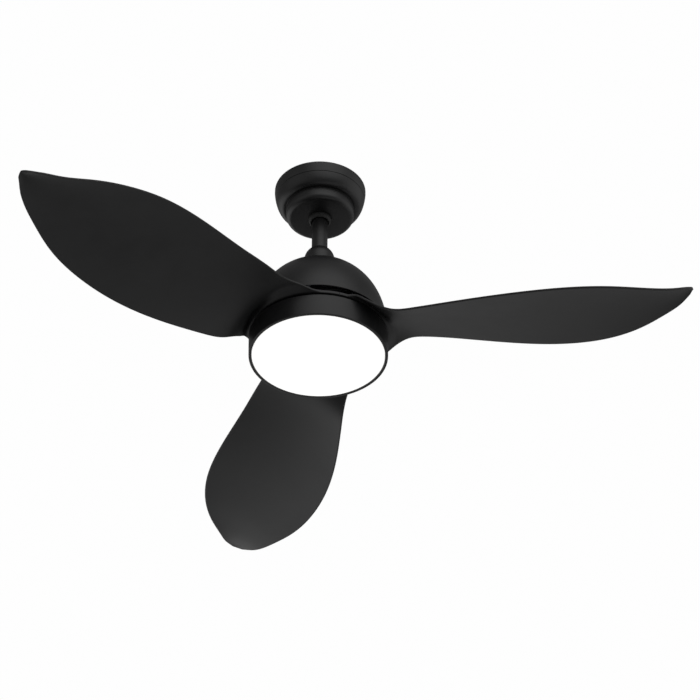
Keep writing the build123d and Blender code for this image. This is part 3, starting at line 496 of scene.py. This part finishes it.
def cover_outline():
    foot = DOME_TOP + COVER_PLAY
    outlines = []
    for thin in (0, COVER_WALL):
        radius = COVER_RADIUS - thin
        cap = arc_points((0, COVER_CENTRE), radius, COVER_OPENING, 0, 18)
        skirt = curve([cap[-1], (radius, COVER_WAIST), (COVER_FOOT_RADIUS - thin, foot)], 18)
        outlines.append(cap + [tuple(p) for p in skirt[1:]])
    outer, inner = outlines
    return rounded(
        [(*outer[0], 0.6)] + corners_of(outer[1:-1]) + [(*outer[-1], 0.6), (*inner[-1], 0.5)]
        + corners_of(inner[-2:0:-1]) + [(*inner[0], 0.5)]
    )


def canopy_outline():
    wall = CANOPY_WALL
    bowl = curve([(BOWL_RADIUS, -TRIM_DEPTH), BOWL_WAIST, (TIER_RADIUS, -TIER_TOP)], 20)
    waist = (BOWL_WAIST[0] - wall, BOWL_WAIST[1] + wall)
    inner_bowl = curve(
        [(TIER_RADIUS - wall, wall - TIER_TOP), waist, (BOWL_RADIUS - wall, -TRIM_DEPTH - wall)], 20
    )
    tier_centre = (TIER_RADIUS - TIER_ROUND, TIER_ROUND - CANOPY_DEPTH)
    edge = arc_points(tier_centre, TIER_ROUND, 0, -90, 12)
    inner_edge = arc_points(tier_centre, TIER_ROUND - wall, -90, 0, 12)
    return rounded(
        [(CANOPY_NECK, 0, 0), (CANOPY_NECK, -TRIM_DEPTH, 0), (*bowl[0], 0.8)]
        + corners_of(bowl[1:-1])
        + [(*bowl[-1], 0.5)]
        + corners_of(edge)
        + [(BUSHING_HOLE, -CANOPY_DEPTH, 0.3), (BUSHING_HOLE, wall - CANOPY_DEPTH, 0.3)]
        + corners_of(inner_edge)
        + [(*inner_bowl[0], 0.5)]
        + corners_of(inner_bowl[1:-1])
        + [(*inner_bowl[-1], 0.3), (CANOPY_NECK - wall, -TRIM_DEPTH - wall, 0.3), (CANOPY_NECK - wall, 0, 0)]
    )


def trim_outline():
    foot = (TRIM_FOOT_RADIUS, TRIM_SEAM - TRIM_DEPTH)
    side = curve([(CANOPY_RADIUS, -TRIM_CEILING_EDGE), TRIM_WAIST, foot], 10)
    return rounded(
        [(TRIM_IN, TRIM_SEAM - TRIM_DEPTH, 0.3), (TRIM_IN, 0, 0), (CANOPY_RADIUS, 0, 0.6)]
        + corners_of(side[:-1])
        + [(*side[-1], 0.5)]
    )


def bushing_outline():
    floor_top = CANOPY_WALL - CANOPY_DEPTH
    pull = (BUSHING_OUT, -BUSHING_BULGE)
    bead = curve([(BUSHING_OUT, -CANOPY_DEPTH), pull, (BUSHING_LIP_OUT, -BUSHING_DEPTH)], 12)
    return rounded(
        [
            (BUSHING_IN, -BUSHING_DEPTH, 0.4),
            (BUSHING_IN, floor_top + BUSHING_FLANGE, 0.4),
            (BUSHING_OUT - BUSHING_FLANGE_IN, floor_top + BUSHING_FLANGE, 0.4),
            (BUSHING_OUT - BUSHING_FLANGE_IN, floor_top, 0),
            (BUSHING_HOLE, floor_top, 0),
            (BUSHING_HOLE, -CANOPY_DEPTH, 0),
        ]
        + corners_of(bead)
    )


def housing_shape():
    body = rounded(
        [
            (LIP_RADIUS, HOUSING_FOOT, 0.5),
            (HOUSING_FOOT_RADIUS, HOUSING_FOOT, 0.9),
            (HOUSING_TOP_RADIUS, HOUSING_TOP, 1.3),
            (HOUSING_OPENING, HOUSING_TOP, 0.5),
            (HOUSING_OPENING, HOUSING_TOP - HOUSING_WALL, 0.5),
            (HOUSING_TOP_RADIUS - HOUSING_WALL, HOUSING_TOP - HOUSING_WALL, 0.5),
            (HOUSING_FOOT_RADIUS - HOUSING_WALL, LIP_TOP, 0.5),
            (LIP_RADIUS, LIP_TOP, 0.4),
        ]
    )
    catch = rounded(
        [
            (CATCH_IN, CATCH_FOOT, 0.4),
            (CATCH_OUT, CATCH_FOOT, 0),
            (CATCH_OUT, CATCH_TOP, 0),
            (CATCH_IN, CATCH_TOP, 0.4),
        ]
    )
    shapes = [turned(body)]
    for index in range(CATCHES):
        shapes.append(turned(catch, 360 / CATCHES * index - CATCH_HALF_ANGLE, 2 * CATCH_HALF_ANGLE, 12))
    return joined(*shapes)


def diffuser_shape():
    crowns = []
    for rim_radius, level in ((DIFFUSER_RADIUS - 1, 0), (SKIRT_IN, DIFFUSER_WALL)):
        arc_radius = (rim_radius**2 + DIFFUSER_CROWN**2) / (2 * DIFFUSER_CROWN)
        span = degrees(asin(rim_radius / arc_radius))
        crowns.append(arc_points((0, level - DIFFUSER_CROWN + arc_radius), arc_radius, -90, span - 90, 36))
    outline = rounded(
        [(0, crowns[0][0][1], 0)]
        + corners_of(crowns[0][1:-1])
        + [(*crowns[0][-1], 0.6), (DIFFUSER_RADIUS, 1, 0.6), (DIFFUSER_RADIUS, DIFFUSER_SKIRT, 0.3)]
        + [(SKIRT_IN, DIFFUSER_SKIRT, 0.3), (*crowns[1][-1], 0.4)]
        + corners_of(crowns[1][-2:0:-1])
        + [(0, crowns[1][0][1], 0)]
    )
    shapes = [turned(outline)]
    for (inner, outer), foot in ((HOOK_STEM, HOOK_FOOT), (HOOK_TOE, CATCH_TOP + HOOK_PLAY)):
        sides = ((inner, foot), (outer, foot), (outer, HOOK_TOP), (inner, HOOK_TOP))
        hook = rounded(corners_of(sides, 0.3))
        for index in range(CATCHES):
            shapes.append(turned(hook, 360 / CATCHES * index - HOOK_HALF_ANGLE, 2 * HOOK_HALF_ANGLE, 12))
    return joined(*shapes)


rod_outline = rounded(
    [
        (ROD_BORE, ROD_FOOT + LIGHT_LEVEL, 0.4),
        (ROD_RADIUS, ROD_FOOT + LIGHT_LEVEL, 0.4),
        (ROD_RADIUS, -ROD_TOP_DEPTH, 0.6),
        (ROD_BORE, -ROD_TOP_DEPTH, 0.4),
    ]
)

cover_shape = raised(turned(cover_outline(), segments=160), LIGHT_LEVEL)
dome_shape = raised(turned(dome_outline(), segments=300), LIGHT_LEVEL)

# name, shape, body it moves with, CAD node it stands for
PIECES = [
    ("canopy_shell", turned(canopy_outline()), "ceiling", "canopy"),
    ("trim_ring_shell", turned(trim_outline()), "ceiling", "canopy_trim_ring"),
    ("bushing_shell", turned(bushing_outline(), segments=120), "ceiling", "canopy_bushing"),
    ("rod_tube", turned(rod_outline, segments=120), "hanging", "downrod"),
    ("coupling_cover_shell", cover_shape, "cover", "coupling_cover"),
    ("dome_shell", dome_shape, "hanging", "dome_cover"),
    ("housing_shell", raised(housing_shape(), LIGHT_LEVEL), "hanging", "light_housing"),
    ("diffuser_lens", raised(diffuser_shape(), LIGHT_LEVEL), "lens", "diffuser"),
]

# ---------------------------------------------------------------- materials


def new_material(name):
    material = bpy.data.materials.new(name)
    material.use_nodes = True
    return material, material.node_tree.nodes, material.node_tree.links


def noise(nodes, links, where, scale, detail=2.0, roughness=0.5):
    texture = nodes.new("ShaderNodeTexNoise")
    texture.inputs["Scale"].default_value = scale
    texture.inputs["Detail"].default_value = detail
    texture.inputs["Roughness"].default_value = roughness
    links.new(where.outputs["Object"], texture.inputs["Vector"])
    return texture.outputs["Fac"]


NOISE_LOW, NOISE_HIGH = 0.3, 0.7  # nearly all of a noise texture lies between these
BROAD_SCALE = 14  # per metre


def spread(nodes, links, value, low, high):
    """Takes a texture's middle range to between two values."""
    mapped = nodes.new("ShaderNodeMapRange")
    mapped.inputs["From Min"].default_value = NOISE_LOW
    mapped.inputs["From Max"].default_value = NOISE_HIGH
    mapped.inputs["To Min"].default_value = low
    mapped.inputs["To Max"].default_value = high
    links.new(value, mapped.inputs["Value"])
    return mapped.outputs["Result"]


def finish_of(
    name,
    color,
    roughness,
    metallic=0.0,
    specular=0.5,
    drift=0.2,
    grain=1500.0,
    relief=0.00004,
    orange_peel=0.0,
):
    """A finish whose colour and roughness drift slowly over the surface, with a fine raised grain.

    grain is the grain's scale per metre, relief and orange_peel are heights in metres."""
    material, nodes, links = new_material(name)
    shader = nodes["Principled BSDF"]
    shader.inputs["Metallic"].default_value = metallic
    shader.inputs["Specular IOR Level"].default_value = specular
    where = nodes.new("ShaderNodeTexCoord")
    broad = noise(nodes, links, where, BROAD_SCALE, 5, 0.6)
    speckle = noise(nodes, links, where, grain, 2)
    shade = nodes.new("ShaderNodeValToRGB")
    shade.color_ramp.elements[0].position = NOISE_LOW
    shade.color_ramp.elements[1].position = NOISE_HIGH
    shade.color_ramp.elements[0].color = (*[c * (1 - drift) for c in color], 1)
    shade.color_ramp.elements[1].color = (*[min(c * (1 + drift), 1) for c in color], 1)
    links.new(broad, shade.inputs["Fac"])
    links.new(shade.outputs["Color"], shader.inputs["Base Color"])
    blend = nodes.new("ShaderNodeMath")
    blend.operation = "ADD"
    links.new(spread(nodes, links, broad, roughness * 0.9, roughness * 1.1), blend.inputs[0])
    links.new(spread(nodes, links, speckle, -0.03, 0.03), blend.inputs[1])
    links.new(blend.outputs[0], shader.inputs["Roughness"])
    fine = nodes.new("ShaderNodeBump")
    fine.inputs["Strength"].default_value = 1
    fine.inputs["Distance"].default_value = relief
    links.new(speckle, fine.inputs["Height"])
    if orange_peel:
        waves = nodes.new("ShaderNodeBump")
        waves.inputs["Strength"].default_value = 1
        waves.inputs["Distance"].default_value = orange_peel
        links.new(noise(nodes, links, where, grain / 4, 1), waves.inputs["Height"])
        links.new(waves.outputs["Normal"], fine.inputs["Normal"])
    links.new(fine.outputs["Normal"], shader.inputs["Normal"])
    return material


materials = {
    "black_steel": finish_of("black_steel", (0.012, 0.012, 0.0125), 0.38, orange_peel=0.00006, grain=1600),
    "black_plastic": finish_of("black_plastic", (0.0125, 0.0125, 0.013), 0.42, grain=2200),
    "zinc_steel": finish_of("zinc_steel", (0.55, 0.56, 0.58), 0.35, 1.0, drift=0.12),
    "black_screw": finish_of("black_screw", (0.02, 0.02, 0.02), 0.4, 0.6),
    "soft_rubber": finish_of("soft_rubber", (0.02, 0.02, 0.02), 0.65),
    "white_plastic": finish_of("white_plastic", (0.8, 0.8, 0.78), 0.45, drift=0.03),
    "brass": finish_of("brass", (0.72, 0.56, 0.28), 0.3, 1.0, drift=0.08),
    "dark_nylon": finish_of("dark_nylon", (0.035, 0.035, 0.04), 0.5),
    "lead_jacket": finish_of("lead_jacket", (0.05, 0.05, 0.05), 0.5),
    "cast_aluminium": finish_of(
        "cast_aluminium", (0.6, 0.61, 0.63), 0.48, 1.0, drift=0.1, orange_peel=0.0001
    ),
    "steel": finish_of("steel", (0.5, 0.5, 0.52), 0.28, 1.0, drift=0.1),
    "copper": finish_of("copper", (0.62, 0.3, 0.16), 0.35, 1.0, drift=0.12, relief=0.0001, grain=900),
    "magnet": finish_of("magnet", (0.1, 0.1, 0.11), 0.45, 0.6),
    "circuit_board": finish_of("circuit_board", (0.03, 0.16, 0.07), 0.4),
    "component": finish_of("component", (0.06, 0.06, 0.07), 0.4),
    "led_phosphor": finish_of("led_phosphor", (0.9, 0.78, 0.32), 0.5, drift=0.04),
    "opal": finish_of("opal", (0.9, 0.9, 0.895), 0.32, drift=0.015, relief=0.00002),
}
DIFFUSER_GLOW = 0.75
glow = materials["opal"].node_tree.nodes["Principled BSDF"]
glow.inputs["Emission Color"].default_value = (1.0, 0.995, 0.98, 1)
glow.inputs["Emission Strength"].default_value = DIFFUSER_GLOW

slot_of = {part["node"]: part["material_slot"] for part in record["subparts"]}
for name, ob in frame["nodes"].items():
    ob.data.materials.clear()
    ob.data.materials.append(materials[slot_of[name]])


def place_piece(piece, body, node):
    piece.data.materials.append(materials[slot_of[node]])
    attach(piece, body)
    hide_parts(node)


for name, shape, body, node in PIECES:
    place_piece(mesh_object(name, *shape), body, node)
for index in range(BLADES):
    place_piece(blade_piece(index), "rotor", f"blade_{index + 1}")

# ---------------------------------------------------------------- camera, floor and light

CAMERA_PLACE = (0.6496, -2.7331, -2.5163)
CAMERA_ANGLES = (127.73, -0.03, 12.30)  # degrees; it looks up at the fan by 37.7
FOCAL_LENGTH = 112.6
scene = bpy.context.scene
lens = bpy.data.cameras.new("camera")
lens.lens = FOCAL_LENGTH
lens.sensor_width = 36
lens.clip_end = 100
camera = bpy.data.objects.new("camera", lens)
camera.location = CAMERA_PLACE
camera.rotation_euler = Euler([radians(angle) for angle in CAMERA_ANGLES])
scene.collection.objects.link(camera)
scene.camera = camera
scene.view_settings.view_transform = "Standard"

FLOOR_HEIGHT = -5.0  # low enough that every view from below stays above it
FLOOR_HALF = 30
FLOOR_GLOW = 0.6  # a lit studio floor
floor_mesh = bpy.data.meshes.new("floor")
floor_sides = ((-1, -1), (1, -1), (1, 1), (-1, 1))
floor_corners = [(x * FLOOR_HALF, y * FLOOR_HALF, FLOOR_HEIGHT) for x, y in floor_sides]
floor_mesh.from_pydata(floor_corners, [], [(0, 1, 2, 3)])
floor = bpy.data.objects.new("floor", floor_mesh)
scene.collection.objects.link(floor)
# The studio below the fan is open, so the blades are lit from there too
floor.visible_glossy = False
floor.visible_diffuse = False
paper = finish_of("paper", (0.8, 0.8, 0.8), 0.9, drift=0.01, relief=0.0)
floor.data.materials.append(paper)
paper_shader = paper.node_tree.nodes["Principled BSDF"]
paper_shader.inputs["Emission Color"].default_value = (1, 1, 1, 1)
paper_shader.inputs["Emission Strength"].default_value = FLOOR_GLOW

world = bpy.data.worlds.new("studio")
scene.world = world
world.use_nodes = True
nodes, links = world.node_tree.nodes, world.node_tree.links
nodes.clear()
direction = nodes.new("ShaderNodeTexCoord")


def toward(azimuth, elevation):
    a, e = radians(azimuth), radians(elevation)
    return (cos(a) * cos(e), sin(a) * cos(e), sin(e))


def soft_box(azimuth, elevation, spread_angle, strength):
    """The light from a broad soft source in one direction, falling off smoothly round it."""
    aim = nodes.new("ShaderNodeVectorMath")
    aim.operation = "DOT_PRODUCT"
    aim.inputs[1].default_value = toward(azimuth, elevation)
    links.new(direction.outputs["Generated"], aim.inputs[0])
    fall = nodes.new("ShaderNodeMapRange")
    fall.interpolation_type = "SMOOTHSTEP"
    fall.inputs["From Min"].default_value = cos(radians(spread_angle))
    fall.inputs["From Max"].default_value = 1
    fall.inputs["To Max"].default_value = strength
    links.new(aim.outputs["Value"], fall.inputs["Value"])
    return fall.outputs["Result"]


AMBIENT = 0.2
BACKDROP = (0.99, 0.99, 0.99, 1)
# azimuth, elevation and spread in degrees, and strength
SOFT_BOXES = [
    (145, -22, 45, 1.0),
    (85, -8, 42, 0.17),
    (0, -60, 50, 0.5),
    (15, 0, 50, 0.6),
    (-60, 30, 50, 1.15),
    (-135, 0, 45, 0.3),
]
total = None
for box in SOFT_BOXES:
    lit = soft_box(*box)
    add = nodes.new("ShaderNodeMath")
    links.new(lit, add.inputs[0])
    if total is None:
        add.inputs[1].default_value = AMBIENT
    else:
        links.new(total, add.inputs[1])
    total = add.outputs[0]
seen = nodes.new("ShaderNodeBackground")
seen.inputs["Strength"].default_value = 1.0
seen.inputs["Color"].default_value = BACKDROP
soft = nodes.new("ShaderNodeBackground")
links.new(total, soft.inputs["Strength"])
# The camera sees a plain backdrop, and everything else is lit by the soft boxes
rays = nodes.new("ShaderNodeLightPath")
mix = nodes.new("ShaderNodeMixShader")
out = nodes.new("ShaderNodeOutputWorld")
links.new(rays.outputs["Is Camera Ray"], mix.inputs["Fac"])
links.new(soft.outputs[0], mix.inputs[1])
links.new(seen.outputs[0], mix.inputs[2])
links.new(mix.outputs[0], out.inputs[0])
